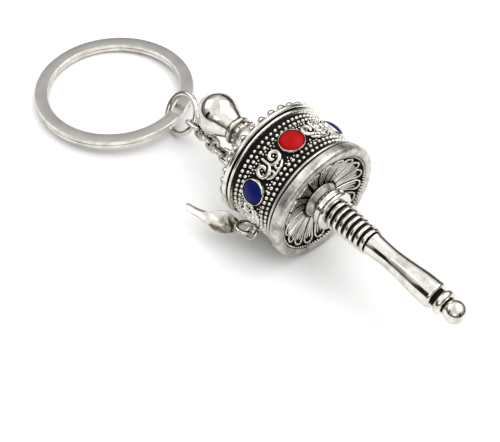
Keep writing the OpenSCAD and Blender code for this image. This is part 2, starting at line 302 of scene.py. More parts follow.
def antique_silver(name, bright=(0.70, 0.675, 0.63, 1), rough=(0.12, 0.30), tarnish=0.62,
                   crevice=0.5 * MM, wear=0.12, patch=0.72):
    """Plated casting: bright where it is rubbed, black in the crevices, with faint casting grain."""
    material, nodes, links, shader = new_material(name)
    shader.inputs["Metallic"].default_value = 1.0
    hollow = nodes.new("ShaderNodeAmbientOcclusion")
    hollow.samples = 8
    hollow.inputs["Distance"].default_value = crevice
    exposed = span(nodes, links, hollow.outputs["AO"], 0.25, 0.25 + tarnish, 0.0, 1.0)
    blotch = noise(nodes, links, 420.0, 5.0, 0.65)
    dulled = (bright[0] * patch, bright[1] * patch * 0.98, bright[2] * patch * 0.94, 1)
    stain = ramp(nodes, links, blotch, [(0.36, dulled), (0.56, bright)])
    colour = mix(nodes, links, exposed, (0.018, 0.016, 0.014, 1), stain)
    links.new(colour, shader.inputs["Base Color"])
    rub = noise(nodes, links, 900.0, 3.0)
    links.new(span(nodes, links, rub, 0.3, 0.7, rough[0], rough[1]), shader.inputs["Roughness"])
    grain = noise(nodes, links, 2600.0, 6.0, 0.7)
    links.new(bump(nodes, links, grain, wear, 0.06 * MM), shader.inputs["Normal"])
    return material


def blackened(name):
    """The oxidised ground behind the ornament."""
    material, nodes, links, shader = new_material(name)
    shader.inputs["Metallic"].default_value = 0.2
    shader.inputs["Specular IOR Level"].default_value = 0.2
    blotch = noise(nodes, links, 1500.0, 5.0)
    stops = [(0.35, (0.004, 0.0038, 0.0035, 1)), (0.7, (0.014, 0.013, 0.011, 1))]
    links.new(ramp(nodes, links, blotch, stops), shader.inputs["Base Color"])
    links.new(span(nodes, links, blotch, 0.3, 0.7, 0.45, 0.7), shader.inputs["Roughness"])
    links.new(bump(nodes, links, noise(nodes, links, 3500.0), 0.4, 0.05 * MM), shader.inputs["Normal"])
    return material


def enamel(name, deep, light):
    """A polished cabochon with faint cloudy depth."""
    material, nodes, links, shader = new_material(name)
    cloud = noise(nodes, links, 350.0, 3.0)
    links.new(ramp(nodes, links, cloud, [(0.3, deep), (0.7, light)]), shader.inputs["Base Color"])
    shader.inputs["Roughness"].default_value = 0.42
    shader.inputs["Specular IOR Level"].default_value = 0.16
    shader.inputs["Coat Weight"].default_value = 0.06
    shader.inputs["Coat Roughness"].default_value = 0.18
    links.new(bump(nodes, links, noise(nodes, links, 900.0, 2.0), 0.06, 0.05 * MM), shader.inputs["Normal"])
    return material


def satin_ring(name, centre):
    """Nickel-plated flat band, brushed round its circle."""
    material, nodes, links, shader = new_material(name)
    shader.inputs["Metallic"].default_value = 1.0
    coord = nodes.new("ShaderNodeTexCoord")
    offset = nodes.new("ShaderNodeVectorMath")
    offset.operation = "SUBTRACT"
    links.new(coord.outputs["Object"], offset.inputs[0])
    offset.inputs[1].default_value = centre
    flat = nodes.new("ShaderNodeVectorMath")
    flat.operation = "MULTIPLY"
    links.new(offset.outputs["Vector"], flat.inputs[0])
    flat.inputs[1].default_value = (1, 1, 0)
    radius = nodes.new("ShaderNodeVectorMath")
    radius.operation = "LENGTH"
    links.new(flat.outputs["Vector"], radius.inputs[0])
    lines = nodes.new("ShaderNodeCombineXYZ")
    links.new(radius.outputs["Value"], lines.inputs["X"])
    streak = noise(nodes, links, 9000.0, 4.0, 0.7, lines.outputs["Vector"])
    blotch = noise(nodes, links, 260.0, 4.0)
    links.new(ramp(nodes, links, blotch, [(0.3, (0.40, 0.39, 0.37, 1)), (0.7, (0.49, 0.475, 0.45, 1))]),
              shader.inputs["Base Color"])
    links.new(span(nodes, links, streak, 0.3, 0.7, 0.3, 0.42), shader.inputs["Roughness"])
    links.new(bump(nodes, links, streak, 0.25, 0.02 * MM), shader.inputs["Normal"])
    return material


def plain_metal(name, colour, rough):
    material, nodes, links, shader = new_material(name)
    shader.inputs["Metallic"].default_value = 1.0
    stops = [(0.3, tuple(0.8 * c for c in colour) + (1,)), (0.7, colour + (1,))]
    links.new(ramp(nodes, links, noise(nodes, links, 700.0), stops), shader.inputs["Base Color"])
    rub = noise(nodes, links, 2000.0)
    links.new(span(nodes, links, rub, 0.3, 0.7, rough, rough + 0.15), shader.inputs["Roughness"])
    return material


def paper(name):
    material, nodes, links, shader = new_material(name)
    stops = [(0.3, (0.62, 0.52, 0.34, 1)), (0.7, (0.78, 0.7, 0.52, 1))]
    links.new(ramp(nodes, links, noise(nodes, links, 1200.0, 6.0), stops), shader.inputs["Base Color"])
    shader.inputs["Roughness"].default_value = 0.85
    links.new(bump(nodes, links, noise(nodes, links, 5000.0), 0.3, 0.05 * MM), shader.inputs["Normal"])
    return material


SILVER = antique_silver("antique_silver")
SATIN_SILVER = antique_silver("satin_silver", (0.62, 0.60, 0.56, 1), (0.24, 0.38), 0.6, 0.7 * MM, 0.3, 0.5)
POLISHED = antique_silver("polished_silver", (0.76, 0.735, 0.69, 1), (0.06, 0.15), 0.45, 0.4 * MM, 0.05)
SMOOTH = antique_silver("smooth_silver", (0.72, 0.695, 0.65, 1), (0.10, 0.2), 0.5, 0.12 * MM, 0.05, 0.85)
BLACK = blackened("oxidised_ground")
RED = enamel("red_enamel", (0.36, 0.0005, 0.0006, 1), (0.47, 0.0008, 0.001, 1))
BLUE = enamel("blue_enamel", (0.001, 0.004, 0.085, 1), (0.002, 0.008, 0.15, 1))
STEEL = plain_metal("turned_steel", (0.55, 0.55, 0.54), 0.25)
BRASS = plain_metal("bush_brass", (0.75, 0.55, 0.25), 0.3)


# ---------------------------------------------------------------- the drum

def on_drum(x, turn, r=DRUM_R):
    """Frame on the drum wall at turn, in radians: +X along the axle, +Y round the drum, +Z out."""
    out = Vector((0, -math.sin(turn), math.cos(turn)))
    along = Vector((1, 0, 0))
    side = out.cross(along)
    place = Matrix((along, side, out)).transposed().to_4x4()
    place.translation = about_axle(x, r, turn)
    return place


def seat_turn(i):
    return math.radians(STONE_TURN + i * 360 / SEATS)


def drum_wall():
    """The black ground: a shallow waisted wall."""
    b = Builder()
    waist = 0.12 * MM
    outer = []
    for i in range(25):
        t = i / 24
        outer.append((BACK_X + (FRONT_X - BACK_X) * t, DRUM_R - waist * math.sin(math.pi * t)))
    lathe(b, [(BACK_X, DRUM_R - 0.8 * MM)] + outer + [(FRONT_X, DRUM_R - 0.8 * MM)], 0)
    obj = b.piece("drum_wall", "drum", [BLACK])
    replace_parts(obj, "drum_shell")


def bead_rows():
    """Two rows of cast beads along each edge of the wall."""
    rows = {"upper_bead_band": (BACK_X + 0.95 * MM, BACK_X + 1.95 * MM),
            "lower_bead_band": (FRONT_X - 1.95 * MM, FRONT_X - 0.95 * MM)}
    count = 66
    for name, stations in rows.items():
        b = Builder()
        for k, x in enumerate(stations):
            for i in range(count):
                turn = TAU * (i + 0.5 * (k % 2)) / count
                size = 0.37 * MM * random.uniform(0.92, 1.08)
                jitter = random.uniform(-0.04, 0.04) * MM
                dome(b, on_drum(x + jitter, turn, DRUM_R - 0.05 * MM), size, 0.46 * MM, rings=5, steps=12)
        obj = b.piece(name.replace("_band", "s"), "drum", [POLISHED], 180)
        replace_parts(obj, name)


def spiral(cx, cy, r0, r1, a0, turns, steps=40):
    """A curl from radius r0 to r1 about (cx, cy), in millimetres; a0 in degrees."""
    out = []
    for i in range(steps + 1):
        t = i / steps
        r = r0 + (r1 - r0) * t
        a = math.radians(a0) + TAU * turns * t
        out.append((cx + r * math.cos(a), cy + r * math.sin(a)))
    return out


def stroke(builder, points, centre_turn, width, height, mat=0):
    """A raised rib on the drum wall. points are (along the axle, round the drum), in millimetres."""
    path, ups, radii = [], [], []
    n = len(points)
    for i, (u, v) in enumerate(points):
        turn = centre_turn - v * MM / DRUM_R
        path.append(about_axle(MID_X + u * MM, DRUM_R + 0.02 * MM, turn))
        ups.append(Vector((0, -math.sin(turn), math.cos(turn))))
        end = min(i, n - 1 - i) / max(1, n * 0.14)
        radii.append(width / 2 * MM * min(1.0, 0.45 + 0.55 * end))
    tube(builder, path, radii, mat, 12, flat=height / (width / 2), up=ups)


# Generic curls for the cells between two stones, in millimetres: (along the axle, round the drum)
def cell_strokes():
    strokes = []
    for side in (-1, 1):
        strokes.append((spiral(-0.42, 1.42 * side, 1.46, 0.4, -95 * side, 1.2 * side), 0.74))
        strokes.append((spiral(1.32, 0.85 * side, 0.7, 0.24, 70 * side, -0.95 * side), 0.52))
    strokes.append(([(-2.0 + 2.1 * i / 12, 0.0) for i in range(13)], 0.55))
    strokes.append(([(2.0 * math.cos(a) + 0.02, 2.5 * math.sin(a)) for a in
                     [math.radians(-58 + 116 * i / 24) for i in range(25)]], 0.55))
    return strokes


def scrolls_and_grains():
    """Curls between the stones, and a field of small grains over what ground is left."""
    strokes = cell_strokes()
    curls = Builder()
    grains = Builder()
    cell_points = [p for points, _ in strokes for p in points]
    half_arc = DRUM_R / MM * math.pi / SEATS
    for i in range(SEATS):
        cell = math.radians(STONE_TURN + (i + 0.5) * 360 / SEATS)
        for points, width in strokes:
            stroke(curls, points, cell, width, 0.44)
        pitch = 0.62
        for row in range(-4, 5):
            u = row * 0.54
            if abs(u) > 2.3:
                continue
            steps = int(half_arc / pitch)
            for k in range(-steps, steps + 1):
                v = (k + 0.5 * (row % 2)) * pitch
                if abs(v) > half_arc:
                    continue
                clear_of_curl = all((u - p[0]) ** 2 + (v - p[1]) ** 2 > 0.50 ** 2 for p in cell_points)
                away = half_arc - abs(v)
                clear_of_seat = u * u + away * away > 2.62 ** 2
                if clear_of_curl and clear_of_seat:
                    turn = cell - v * MM / DRUM_R
                    size = random.uniform(0.19, 0.25) * MM
                    place = on_drum(MID_X + u * MM, turn, DRUM_R - 0.14 * MM)
                    dome(grains, place, size, 0.36 * MM, rings=4, steps=10)
    obj = curls.piece("scrolls", "drum", [POLISHED], 180)
    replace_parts(obj, "scroll_ornaments")
    grains.piece("grain_field", "drum", [POLISHED], 180)


def stones():
    """Thin smooth bezels and rounded cabochons. One place of the six holds the lug instead."""
    bezels = Builder()
    for i in range(SEATS):
        if i == LUG_SEAT:
            continue
        place = on_drum(MID_X, seat_turn(i))
        wall = [(0.04, -0.35), (0.03, 0.15), (0.0, 0.5), (-0.05, 0.62), (-0.11, 0.66), (-0.17, 0.62),
                (-0.2, 0.5), (-0.2, -0.1)]
        rim = [(BEZEL_R / MM + out, up) for out, up in wall]
        rings = [[place @ Vector((r * MM * math.cos(TAU * j / 64), r * MM * math.sin(TAU * j / 64), z * MM))
                  for j in range(64)] for r, z in rim]
        bezels.loft(rings, 0, closed=True, caps=False)
    obj = bezels.piece("bezels", "drum", [POLISHED], 60)
    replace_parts(obj, "stone_bezels")
    colours = (("red_stones", 0, RED, "red_enamel"), ("blue_stones", 1, BLUE, "blue_enamel"))
    for name, first, material, slot in colours:
        b = Builder()
        for i in range(first, SEATS, 2):
            if i != LUG_SEAT:
                place = on_drum(MID_X, seat_turn(i), DRUM_R + 0.2 * MM)
                dome(b, place, STONE_R + 0.11 * MM, 0.95 * MM, rings=14, steps=48)
        obj = b.piece(name.replace("_stones", "_cabochons"), "drum", [material], 180)
        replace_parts(obj, name)


def lotus_end():
    """The handle-side plate: a narrow back edge, a black groove, a broad worn rim, a black well and a hub."""
    b = Builder()
    x0 = FRONT_X
    line = [(x0, DRUM_R - 0.7 * MM)] + arc(x0 + 0.27 * MM, FLANGE_R - 0.57 * MM, 0.27 * MM, -80, 80, 10)
    lathe(b, line + [(x0 + 0.56 * MM, DRUM_R - 0.7 * MM)], 0, wobble=0.008 * MM, seed=0.4)
    groove_r = DRUM_R + 0.15 * MM
    lathe(b, [(x0 + 0.5 * MM, 9.2 * MM), (x0 + 0.5 * MM, groove_r), (x0 + 0.95 * MM, groove_r),
              (x0 + 0.95 * MM, 9.2 * MM)], 1)
    rim = [(x0 + 0.8 * MM, DRUM_R - 0.6 * MM), (x0 + 0.82 * MM, FLANGE_R - 0.55 * MM)]
    rim += arc(x0 + 1.22 * MM, FLANGE_R - 0.42 * MM, 0.42 * MM, -70, 0, 7)
    rim += arc(RIM_X - 0.8 * MM, FLANGE_R - 0.8 * MM, 0.8 * MM, 0, 80, 10)
    rim += [(RIM_X - 0.03 * MM, 10.0 * MM), (RIM_X - 0.06 * MM, 9.75 * MM), (RIM_X - 0.22 * MM, 9.55 * MM)]
    lathe(b, rim + [(RIM_X - 0.9 * MM, 9.4 * MM), (x0 + 0.8 * MM, 9.2 * MM)], 0, wobble=0.02 * MM, seed=1.3)
    well = [(RIM_X - 0.5 * MM, 9.45 * MM), (RIM_X - 0.8 * MM, 9.0 * MM), (RIM_X - 1.35 * MM, 7.6 * MM),
            (RIM_X - 1.75 * MM, 5.4 * MM), (RIM_X - 1.8 * MM, 3.2 * MM)]
    lathe(b, [(x0, 9.2 * MM)] + well + [(x0, 3.2 * MM)], 1)
    hub = [(x0, 1.8 * MM), (x0, 3.25 * MM), (RIM_X - 1.6 * MM, 3.25 * MM)]
    hub += arc(RIM_X - 1.35 * MM, 3.15 * MM, 0.25 * MM, -40, 60, 5) + [(RIM_X - 0.5 * MM, 2.75 * MM)]
    hub += [(RIM_X - 0.3 * MM, 2.6 * MM), (RIM_X - 0.3 * MM, 1.85 * MM), (x0, 1.8 * MM)]
    lathe(b, hub, 0)
    obj = b.piece("lotus_end", "drum", [SATIN_SILVER, BLACK], 50)
    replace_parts(obj, "lotus_plate")


def petals():
    """Eighteen petals, each with a raised edge and two ribs, and a ring of small beads round them."""
    count = 18
    b = Builder()

    def floor_x(r):
        """Height of the dished floor along the axle at radius r, in millimetres."""
        t = max(0.0, min(1.0, (r - 3.2) / 5.6))
        return -1.78 + 1.1 * t ** 2.2

    for i in range(count):
        turn = TAU * i / count
        half = math.pi / count * 0.74

        def point(r, side, lift):
            return about_axle(RIM_X + (floor_x(r) + lift) * MM, r * MM, turn + side)

        outline = [(3.6 + 4.3 * t, -half * (0.42 + 0.58 * t ** 0.7)) for t in [k / 12 for k in range(13)]]
        tip = [(7.9 + 0.85 * math.sin(math.radians(a)), -half * math.cos(math.radians(a)))
               for a in range(15, 166, 15)]
        outline = outline + tip + [(r, -s) for r, s in reversed(outline)]
        path = [point(r, s, 0.16) for r, s in outline]
        tube(b, path, 0.21 * MM, 0, 8, flat=1.2, up=Vector((1, 0, 0)))
        for side in (-0.36, 0.36):
            rib = [point(3.8 + 4.2 * t, side * half * (0.4 + 0.6 * t), 0.12 + 0.06 * math.sin(math.pi * t))
                   for t in [k / 12 for k in range(13)]]
            radii = [0.27 * MM * (0.5 + 0.5 * math.sin(math.pi * (0.15 + 0.7 * k / 12))) for k in range(13)]
            tube(b, rib, radii,
                 0, 8, flat=1.0, up=Vector((1, 0, 0)))
        rows, cols = 12, 8
        grid = []
        for a in range(rows + 1):
            r = 3.7 + 4.6 * a / rows
            width = half * (0.42 + 0.58 * min(1.0, (a / rows)) ** 0.7) * (1.0 if a < rows else 0.75)
            grid.append([point(r, width * (2 * c / cols - 1), 0.04 + 0.16 * math.sin(math.pi * c / cols))
                         for c in range(cols + 1)])
        b.loft(grid, 1, closed=False, caps=False)
    beads = 92
    for i in range(beads):
        turn = TAU * i / beads
        place = Matrix.Translation(about_axle(RIM_X - 0.5 * MM, 9.35 * MM, turn)) @ basis_along_x(turn)
        dome(b, place, random.uniform(0.2, 0.27) * MM, 0.36 * MM, 0, rings=4, steps=10)
    obj = b.piece("rosette", "drum", [SILVER, BLACK], 180)
    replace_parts(obj, "lotus_petals")


def basis_along_x(turn):
    """Rotation whose +Z is the axle's +X, for beads that stand on an end plate."""
    out = Vector((1, 0, 0))
    radial = Vector((0, -math.sin(turn), math.cos(turn)))
    side = out.cross(radial)
    return Matrix((radial, side, out)).transposed().to_4x4()


def crown_end():
    """The finial-side plate: two rings with a black groove between, and a dome down to the neck."""
    b = Builder()
    x0 = BACK_X
    flange = [(x0, DRUM_R - 0.7 * MM), (x0, DRUM_R + 0.1 * MM), (x0 - 0.1 * MM, DRUM_R + 0.25 * MM)]
    flange += arc(x0 - 0.35 * MM, FLANGE_R - 0.55 * MM, 0.27 * MM, 90, -90, 10)
    lathe(b, flange + [(x0 - 0.62 * MM, DRUM_R - 0.2 * MM), (x0 - 0.3 * MM, DRUM_R - 0.7 * MM)], 0)
    groove = [(x0 - 0.3 * MM, DRUM_R - 0.7 * MM), (x0 - 0.5 * MM, DRUM_R + 0.2 * MM),
              (x0 - 1.1 * MM, DRUM_R + 0.2 * MM),
              (x0 - 1.2 * MM, DRUM_R - 0.7 * MM)]
    lathe(b, groove, 1)
    rim = [(x0 - 0.9 * MM, DRUM_R - 0.6 * MM), (x0 - 0.92 * MM, FLANGE_R - 0.5 * MM)]
    rim += arc(x0 - 1.35 * MM, FLANGE_R - 0.45 * MM, 0.45 * MM, 80, -80, 14)
    rim += [(x0 - FLANGE_T, FLANGE_R - 1.0 * MM), (x0 - FLANGE_T, 9.0 * MM)]
    lathe(b, rim + [(x0 - 1.0 * MM, 8.4 * MM)], 0, wobble=0.01 * MM, seed=2.0)
    span_x = DOME_X - (x0 - FLANGE_T)
    dome_profile = [(x0 - FLANGE_T, 9.3 * MM)]
    for i in range(25):
        t = i / 24
        dome_profile.append((x0 - FLANGE_T + span_x * t, (2.6 + 6.2 * (1 - t) ** 2.4) * MM))
    lathe(b, [(x0 - 1.0 * MM, 8.6 * MM)] + dome_profile + [(DOME_X, 1.85 * MM)], 2)
    obj = b.piece("crown_end", "drum", [POLISHED, BLACK, SILVER], 50)
    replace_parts(obj, "crown_plate")


def crown_beads():
    """Thirty lumps round the crown's outer face, with a smaller ring of leaves on the dome inside them."""
    b = Builder()
    count = 30
    for i in range(count):
        turn = TAU * i / count
        place = Matrix.Translation(about_axle(BACK_X - FLANGE_T, FLANGE_R - 0.86 * MM, turn)) @ flip_x(turn)
        dome(b, place, random.uniform(0.78, 0.86) * MM, 1.05 * MM, 0, rings=7, steps=16, sink=0.02 * MM)
    leaves = 14
    for i in range(leaves):
        turn = TAU * (i + 0.5) / leaves
        path, ups = [], []
        for k in range(11):
            t = k / 10
            x = BACK_X - FLANGE_T + (DOME_X - BACK_X + FLANGE_T) * (0.04 + 0.78 * t)
            r = (2.6 + 6.2 * (1 - (0.04 + 0.78 * t)) ** 2.4) * MM
            path.append(about_axle(x, r + 0.02 * MM, turn))
            ups.append(Vector((-0.5, -math.sin(turn), math.cos(turn))).normalized())
        widths = [MM * (0.14 + 0.42 * math.sin(math.pi * (0.1 + 0.8 * (1 - k / 10)))) * (1.1 - 0.06 * k)
                  for k in range(11)]
        tube(b, path, widths, 0, 10, flat=0.45, up=ups)
    obj = b.piece("crown_lumps", "drum", [SILVER], 180)
    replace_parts(obj, "crown_beads")


def flip_x(turn):
    """Rotation whose +Z is the axle's -X."""
    out = Vector((-1, 0, 0))
    radial = Vector((0, -math.sin(turn), math.cos(turn)))
    side = out.cross(radial)
    return Matrix((radial, side, out)).transposed().to_4x4()


# ---------------------------------------------------------------- the handle

def handle():
    """Collar, ribbed ferrule, grip, pommel ring and ball, each a smooth turned casting."""
    lo, hi = corners("handle_collar")
    b = Builder()
    collar = [(lo.x, 1.0 * MM), (lo.x, 2.9 * MM)] + arc(lo.x + 0.5 * MM, 3.1 * MM, 0.5 * MM, -60, 50, 8)
    collar += [(lo.x + 1.2 * MM, 3.3 * MM)] + arc(hi.x - 0.65 * MM, 3.2 * MM, 0.5 * MM, -40, 80, 8)
    collar += [(hi.x - 0.1 * MM, 2.5 * MM), (hi.x, 2.3 * MM), (hi.x, 1.0 * MM)]
    lathe(b, collar, 0)
    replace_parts(b.piece("ferrule_collar", "handle", [POLISHED], 50), "handle_collar")

    lo, hi = corners("ribbed_ferrule")
    ribs = 7
    pitch = (hi.x - lo.x) / ribs
    b = Builder()
    core = [(lo.x, 1.0 * MM), (lo.x, 2.25 * MM), (hi.x, 1.95 * MM), (hi.x, 1.0 * MM)]
    lathe(b, core, 1)
    for i in range(ribs):
        r = (2.8 - 0.35 * i / (ribs - 1)) * MM
        x = lo.x + (i + 0.5) * pitch
        w = pitch * 0.31
        rib = [(x - w, r - 0.7 * MM)] + arc(x - w + 0.2 * MM, r - 0.24 * MM, 0.2 * MM, -80, -20, 5)
        rib += [(x, r)] + arc(x + w - 0.2 * MM, r - 0.24 * MM, 0.2 * MM, 20, 80, 5) + [(x + w, r - 0.7 * MM)]
        lathe(b, rib, 0, wobble=0.012 * MM, seed=i * 1.7)
    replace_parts(b.piece("ferrule_ribs", "handle", [POLISHED, BLACK], 60), "ribbed_ferrule")

    lo, hi = corners("grip")
    b = Builder()
    end_x = hi.x - 0.65 * MM
    grip = [(lo.x, 0.0), (lo.x, 2.0 * MM), (lo.x + 0.15 * MM, 2.2 * MM)]
    for i in range(2, 49):
        t = i / 48
        r = 1.85 + 0.3 * max(0.0, 1 - t / 0.3) ** 2
        r += 0.65 * (1 - math.cos(math.pi * max(0.0, min(1.0, (t - 0.25) / 0.7)))) / 2
        grip.append((lo.x + (end_x - 0.55 * MM - lo.x) * t, r * MM))
    grip += arc(end_x - 0.5 * MM, 2.0 * MM, 0.5 * MM, 15, 90, 8)
    grip += [(end_x, 1.6 * MM)]
    lathe(b, grip + [(end_x, 0.0)], 0, wobble=0.006 * MM, seed=4.0)
    lathe(b, [(end_x - 0.05 * MM, 0.0), (end_x - 0.05 * MM, 1.55 * MM), (hi.x, 1.55 * MM), (hi.x, 0.0)], 1)
    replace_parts(b.piece("turned_grip", "handle", [POLISHED, BLACK], 50), "grip")

    lo, hi = corners("pommel_ring")
    b = Builder()
    ring = [(lo.x, 0.0), (lo.x, 1.5 * MM)] + arc(lo.x + 0.75 * MM, 1.6 * MM, 0.75 * MM, -85, 85, 18)
    lathe(b, ring + [(lo.x + 1.5 * MM, 1.4 * MM), (lo.x + 1.5 * MM, 0.0)], 0)
    lathe(b, [(lo.x + 1.4 * MM, 0.0), (lo.x + 1.4 * MM, 1.35 * MM), (hi.x + 0.05 * MM, 1.35 * MM),
              (hi.x + 0.05 * MM, 0.0)], 1)
    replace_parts(b.piece("pommel_bead", "handle", [POLISHED, BLACK], 50), "pommel_ring")

    lo, hi = corners("pommel_ball")
    b = Builder()
    r = (hi.z - lo.z) / 2
    cx = hi.x - r
    start = math.degrees(math.asin(max(-1.0, (lo.x - cx) / r)))
    ball = [(lo.x, 0.0)] + arc(cx, 0.0, r, start, 84, 26)
    lathe(b, ball + [(hi.x, 0.0)], 0)
    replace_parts(b.piece("pommel", "handle", [POLISHED], 60), "pommel_ball")


def finial():
    """The pear-shaped finial and the double-ringed neck below it."""
    lo, hi = corners("finial_neck")
    b = Builder()
    neck = [(hi.x, 1.0 * MM), (hi.x, 2.2 * MM)]
    neck += list(reversed(arc(hi.x - 0.72 * MM, 2.3 * MM, 0.42 * MM, -75, 75, 10)))
    neck += [(hi.x - 1.2 * MM, 2.05 * MM), (hi.x - 1.65 * MM, 2.05 * MM)]
    neck += list(reversed(arc(hi.x - 2.1 * MM, 2.35 * MM, 0.42 * MM, -75, 75, 10)))
    neck += [(lo.x, 2.3 * MM), (lo.x, 1.0 * MM)]
    lathe(b, neck, 0)
    notches = 16
    for i in range(notches):
        turn = TAU * i / notches
        path = [about_axle(hi.x - (0.45 + 0.5 * t) * MM, 2.72 * MM, turn) for t in (0, 0.25, 0.5, 0.75, 1)]
        radii = [0.04 * MM, 0.1 * MM, 0.12 * MM, 0.1 * MM, 0.04 * MM]
        tube(b, path, radii, 1, 8, up=Vector((0, -math.sin(turn), math.cos(turn))))
    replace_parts(b.piece("neck_rings", "handle", [SILVER, BLACK], 50), "finial_neck")

    lo, hi = corners("finial_ball")
    b = Builder()
    r = (hi.z - lo.z) / 2
    cx = lo.x + r
    pear = [(lo.x, 0.0)] + arc(cx, 0.0, r, -84, 38, 34)
    pear += [(hi.x - 1.15 * MM, 2.78 * MM), (hi.x - 0.8 * MM, 2.62 * MM), (hi.x - 0.45 * MM, 2.45 * MM),
             (hi.x, 2.35 * MM)]
    lathe(b, pear + [(hi.x, 1.0 * MM)], 0)
    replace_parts(b.piece("finial", "handle", [POLISHED], 60), "finial_ball")


# ---------------------------------------------------------------- chain and rings

LINK_WIRE = 0.85 * MM
LINK_SWELL = 1.08                # the drawn wire is this much thicker than the CAD wire
LINK_R = 1.05 * MM
LINK_LEN = 3.4 * MM
LINK_BACK = 0.95 * MM


def joint_frame(name, towards):
    """A joint's frame: its origin on the pivot, +Z along its axis and +X towards the next pivot."""
    origin = Vector(JOINTS[name]["pos_m"])
    z = Vector(JOINTS[name]["axis"]).normalized()
    x = (towards - origin)
    x = (x - z * x.dot(z)).normalized()
    place = Matrix((x, z.cross(x), z)).transposed().to_4x4()
    place.translation = origin
    return place


def curb_link(builder, place):
    """An oval link of nearly round wire, with two straight sides."""
    straight = LINK_LEN - 2 * LINK_R
    points, radii, ups = [], [], []
    steps = 20
    loop = []
    for i in range(steps + 1):
        a = math.pi / 2 + math.pi * i / steps
        loop.append((LINK_R * math.cos(a), LINK_R * math.sin(a)))
    for i in range(1, 8):
        loop.append((straight * i / 8, -LINK_R))
    for i in range(steps + 1):
        a = -math.pi / 2 + math.pi * i / steps
        loop.append((straight + LINK_R * math.cos(a), LINK_R * math.sin(a)))
    for i in range(1, 8):
        loop.append((straight * (1 - i / 8), LINK_R))
    for x, y in loop:
        points.append(place @ Vector((x + LINK_R - LINK_BACK, y, 0)))
        radii.append(LINK_WIRE / 2 * LINK_SWELL)
        ups.append(place.to_3x3() @ Vector((0, 0, 1)))
    tube(builder, points, radii, 0, 16, closed=True, flat=0.92, up=ups)


def chain():
    pivots = ["link_%d_swing" % k for k in range(1, 7)] + ["jump_ring_swing"]
    for k in range(1, 7):
        b = Builder()
        curb_link(b, joint_frame(pivots[k - 1], Vector(JOINTS[pivots[k]]["pos_m"])))
        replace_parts(b.piece("curb_link_%d" % k, "link_%d" % k, [SILVER], 180),
                    "link_%d" % k)


def rings():
    lo, hi = corners("jump_ring")
    b = Builder()
    axis = Vector(JOINTS["jump_ring_swing"]["axis"])
    wire_ring(b, (lo + hi) / 2, axis, 3.75 * MM, 1.1 * MM, 0, 120, 24)
    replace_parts(b.piece("jump_wire", "jump_ring", [POLISHED], 180), "jump_ring")

    b = Builder()
    points, ups = [], []
    out = Vector((0, -math.cos(math.radians(56)), -math.sin(math.radians(56))))
    tangent = Vector((1, 0, 0)).cross(out)
    centre = Vector(JOINTS["link_1_swing"]["pos_m"]) - out * LINK_R
    for i in range(49):
        a = math.radians(-150 + 300 * i / 48)
        points.append(centre + out * (LINK_R * math.cos(a)) + tangent * (LINK_R * math.sin(a)))
        ups.append(Vector((1, 0, 0)))
    tube(b, points, LINK_WIRE / 2, 0, 16, up=ups)
    foot = [centre - out * (LINK_R * 0.75), centre - out * (LINK_R * 1.6), centre - out * (LINK_R * 1.95)]
    tube(b, foot, [0.42 * MM, 0.46 * MM, 0.6 * MM], 0, 16, up=Vector((1, 0, 0)))
    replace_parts(b.piece("neck_loop", "handle", [SILVER], 180), "chain_lug")


RING_TILT = math.radians(3.7)
RING_R = 15.0 * MM
RING_BAND = 2.35 * MM
TURN_T = 0.78 * MM
RING_GAP = 0.04 * MM


def split_ring():
    """One flat strip wound twice, its ends blunt, with softened edges and a crossing step."""
    lo, hi = corners("split_ring")
    centre = (lo + hi) / 2
    place = Matrix.Translation(centre) @ Matrix.Rotation(-RING_TILT, 4, "Y")
    ring_material = satin_ring("ring_satin", centre)
    b = Builder()
    start = math.radians(40 - 7)
    total = 2 * TAU - math.radians(16)
    steps = 360
    half_t = TURN_T / 2
    edge = 0.13 * MM
    section = []
    w = RING_BAND / 2
    for sx, sz in ((1, -1), (1, 1), (-1, 1), (-1, -1)):
        for k in range(5):
            a = math.radians({(1, -1): -90, (1, 1): 0, (-1, 1): 90, (-1, -1): 180}[(sx, sz)] + 90 * k / 4)
            section.append((sx * (w - edge) + edge * math.cos(a), sz * (half_t - edge) + edge * math.sin(a)))
    rings_list = []
    mid = RING_R - w
    rise = TURN_T + RING_GAP
    crossing = math.radians(26)
    for i in range(steps + 1):
        a = total * i / steps
        t = max(0.0, min(1.0, (a - (TAU - crossing)) / crossing))
        lift = -rise / 2 + rise * (3 * t * t - 2 * t ** 3)
        angle = start + a
        turn_x = math.cos(angle)
        turn_y = math.sin(angle)
        rings_list.append([place @ Vector(((mid + u) * turn_x, (mid + u) * turn_y, v + lift))
                           for u, v in section])
    b.loft(rings_list, 1, closed=True, caps=True)
    for i in range(steps):
        for flat_side in (9, 19):
            b.mats[i * len(section) + flat_side] = 0
    ring_piece = b.piece("flat_split_ring", "key_ring", [ring_material, POLISHED], 50)
    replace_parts(ring_piece, "split_ring")


# ---------------------------------------------------------------- the counterweight

LEAF_START = 1.55                # millimetres from the eye's centre
LEAF_END = 11.0
LEAF_LEAN = 13                   # degrees that the leaf is turned about its length, away from the eye's plane
EYE_OFFSET = Vector((-0.471, -0.275, 0.087)) * MM    # from the hoop's pivot to the eye's centre
EYE_TURN = (14, -3, 214)         # degrees that the eye's own frame is turned about X, Y and Z


def bell(t, middle, spread):
    return math.exp(-((t - middle) / spread) ** 2)


def leaf_width(t):
    """Half width of the leaf in millimetres: a round belly by the eye, then a horn with a blunt tip."""
    tip = math.sqrt(max(0.03, 1 - max(0.0, (t - 0.94) / 0.06) ** 2))
    return (0.78 + 1.75 * bell(t, 0.26, 0.27)) * tip


def leaf_cup(t):
    """How far the leaf's edges stand over its middle, in millimetres."""
    return 0.9 * bell(t, 0.26, 0.22)


